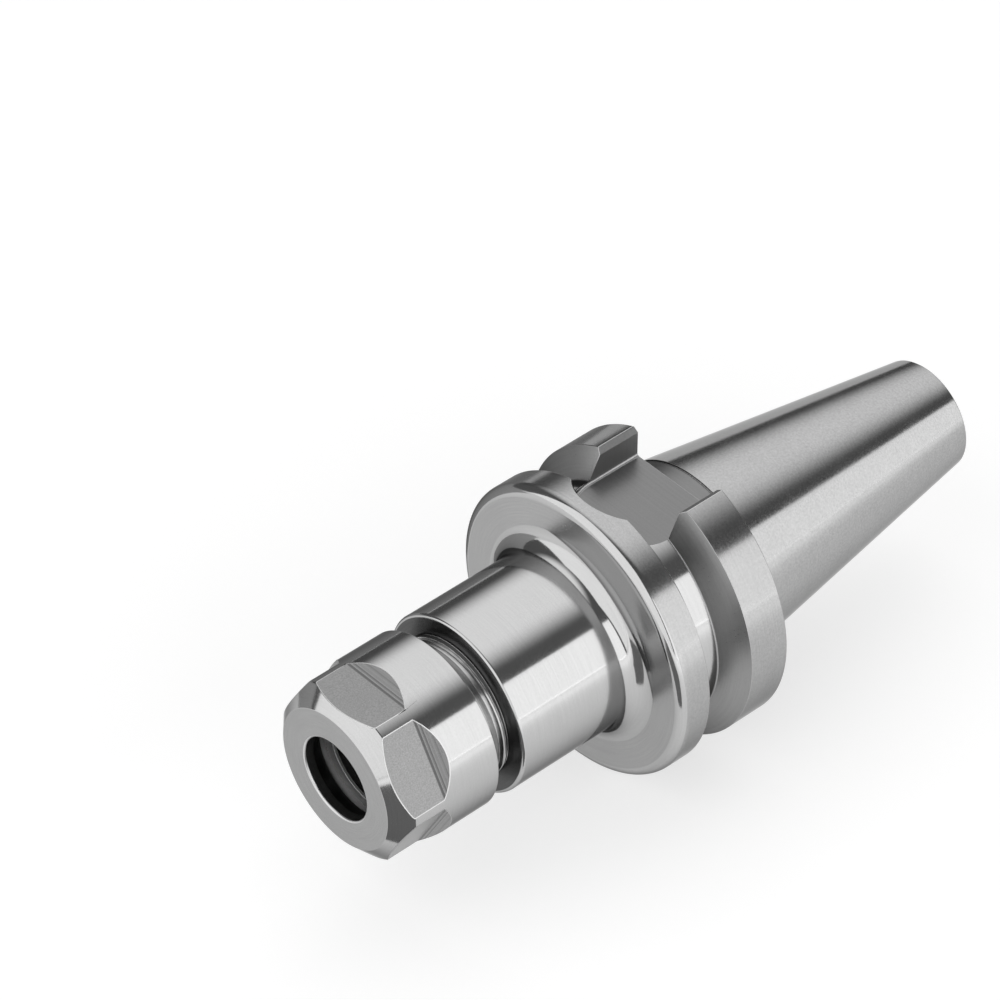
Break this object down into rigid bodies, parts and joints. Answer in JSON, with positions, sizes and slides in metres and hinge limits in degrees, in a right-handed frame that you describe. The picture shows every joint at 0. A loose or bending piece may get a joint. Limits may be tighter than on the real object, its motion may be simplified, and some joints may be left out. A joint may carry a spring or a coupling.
{
  "type": "collet chuck holder",
  "caption": "Steep-taper collet chuck holder: ground shank, V-grooved gripper flange with drive slots, round nose and a hexagon clamping nut on its threaded front end.",
  "frame": {"origin": "centre of the gauge plane, where the 7/24 taper has its nominal diameter, on the holder's axis", "axes": "+X along the axis towards the taper's small end, -X towards the nut; +Z out through one drive slot, the other slot faces -Z; the holder lies on its flange as it does on a bench"},
  "size_m": [0.1134, 0.046, 0.046],
  "materials": {
    "holder_steel": "ground and polished",
    "nut_steel": "turned and polished, flats milled"
  },
  "bodies": {
    "holder": {"holder_body": "holder_steel"},
    "nut": {"clamping_nut": "nut_steel"}
  },
  "joints": [
    {"name": "nut_travel", "type": "slide", "parent": "holder", "child": "nut", "axis": [-1, 0, 0], "range_m": [0, 0.0105]}
  ]
}
